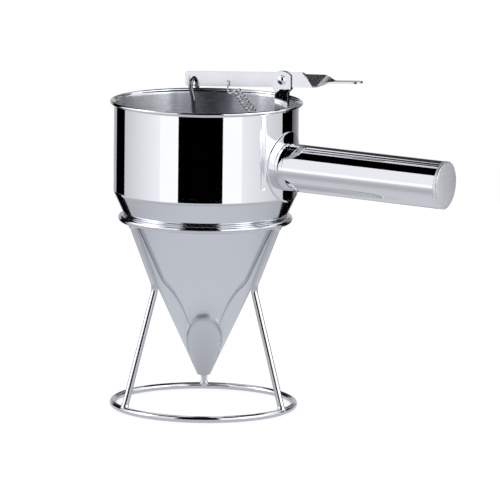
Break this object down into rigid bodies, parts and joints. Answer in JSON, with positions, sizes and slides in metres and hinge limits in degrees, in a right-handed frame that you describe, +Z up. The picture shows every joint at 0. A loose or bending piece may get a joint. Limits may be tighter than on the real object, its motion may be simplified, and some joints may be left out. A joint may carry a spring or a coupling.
{
  "type": "pancake batter dispenser",
  "caption": "Steel funnel for pancake batter with a tube handle and a sprung thumb lever that lifts a plunger off the nozzle, held in a round wire stand.",
  "frame": {"origin": "centre of the stand's foot ring, on the surface it stands on", "axes": "+Z up along the funnel's axis, +X along the handle, the lever works in the XZ plane"},
  "size_m": [0.2453, 0.1306, 0.2341],
  "materials": {
    "mirror_steel": "mirror-polished stainless steel",
    "satin_steel": "satin stainless steel, lightly spun",
    "satin_cap": "fine satin stainless steel",
    "brushed_strip": "brushed stainless strip",
    "plunger_steel": "polished stainless wire",
    "spring_wire": "bright spring wire",
    "stand_wire": "bright polished wire"
  },
  "bodies": {
    "stand": {"stand_top_ring": "stand_wire", "stand_base_ring": "stand_wire", "stand_leg_right": "stand_wire", "stand_leg_front_left": "stand_wire", "stand_leg_back_left": "stand_wire"},
    "funnel": {"cup": "mirror_steel", "cone": "satin_steel", "handle_flange": "mirror_steel", "handle_tube": "mirror_steel", "handle_cap": "satin_cap", "lever_bracket": "brushed_strip", "pivot_rivet": "mirror_steel", "spring_pin": "brushed_strip", "return_spring": "spring_wire"},
    "lever": {"lever": "brushed_strip"},
    "plunger": {"plunger_rod": "plunger_steel", "plunger_stopper": "plunger_steel"}
  },
  "joints": [
    {"name": "funnel_lift", "type": "slide", "parent": "stand", "child": "funnel", "axis": [0, 0, 1], "range_m": [0, 0.12]},
    {"name": "lever_pivot", "type": "hinge", "parent": "funnel", "child": "lever", "pos_m": [0.0572, 0, 0.22805], "axis": [0, 1, 0], "range_deg": [0, 15], "stiffness_Nm_per_rad": 0.31, "springref_deg": -24.06, "deforming": ["return_spring"]},
    {"name": "plunger_lift", "type": "slide", "parent": "funnel", "child": "plunger", "axis": [0, 0, 1], "range_m": [0, 0.018]}
  ],
  "couplings": [
    {"joint": "plunger_lift", "follows": "lever_pivot", "m_per_rad": 0.067362}
  ]
}
